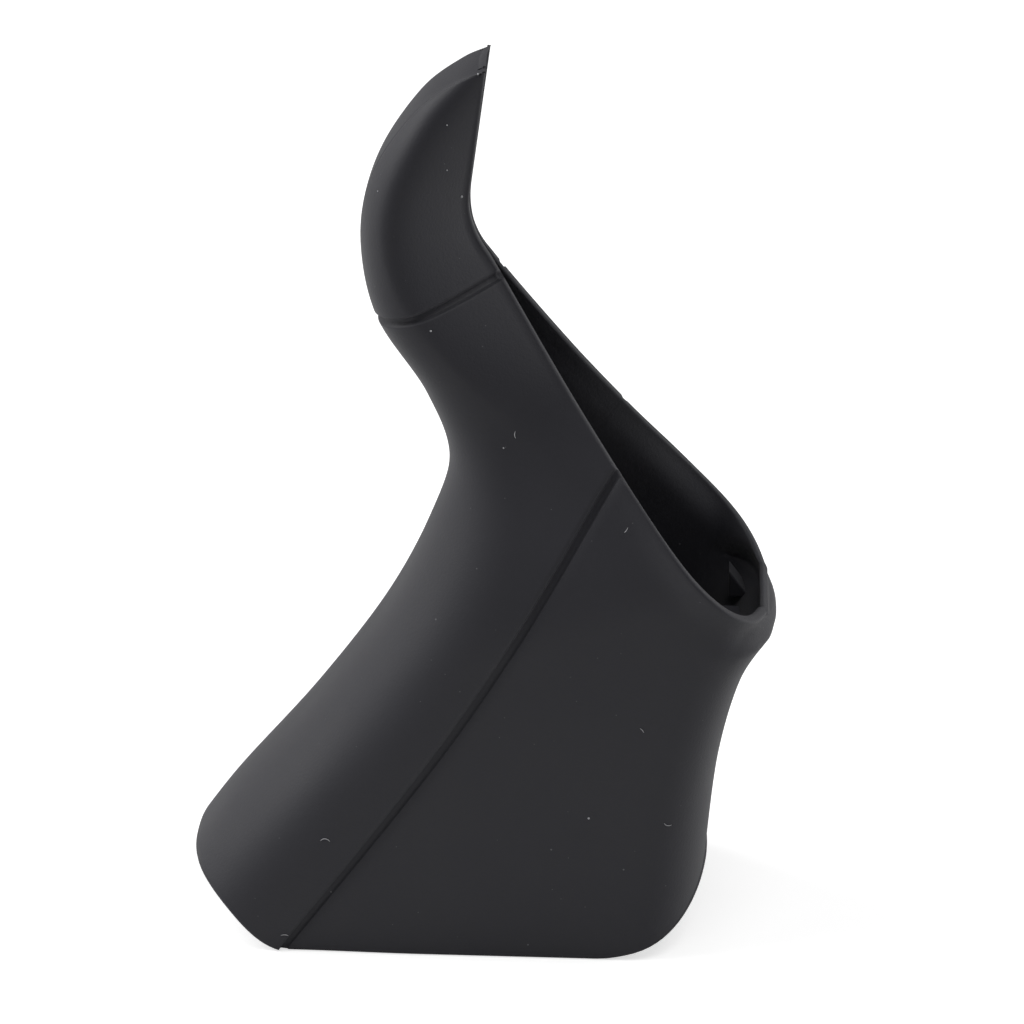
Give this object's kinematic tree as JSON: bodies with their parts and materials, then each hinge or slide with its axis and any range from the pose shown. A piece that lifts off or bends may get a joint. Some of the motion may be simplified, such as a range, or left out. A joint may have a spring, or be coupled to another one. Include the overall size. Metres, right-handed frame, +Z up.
{
  "type": "brake lever hood",
  "caption": "Thin moulded rubber brake lever hood with a tall closed horn, an egg-shaped mouth and an open bottom that straddles a drop handlebar.",
  "frame": {"origin": "on the ground under the middle of the hood's bounding box", "axes": "+X from the heel of the palm towards the lever blade, +Y across the hood, +Z up to the tip of the horn"},
  "size_m": [0.0784, 0.0388, 0.1188],
  "materials": {
    "rubber": "matte moulded"
  },
  "bodies": {
    "root": {"hood": "rubber"}
  },
  "joints": []
}
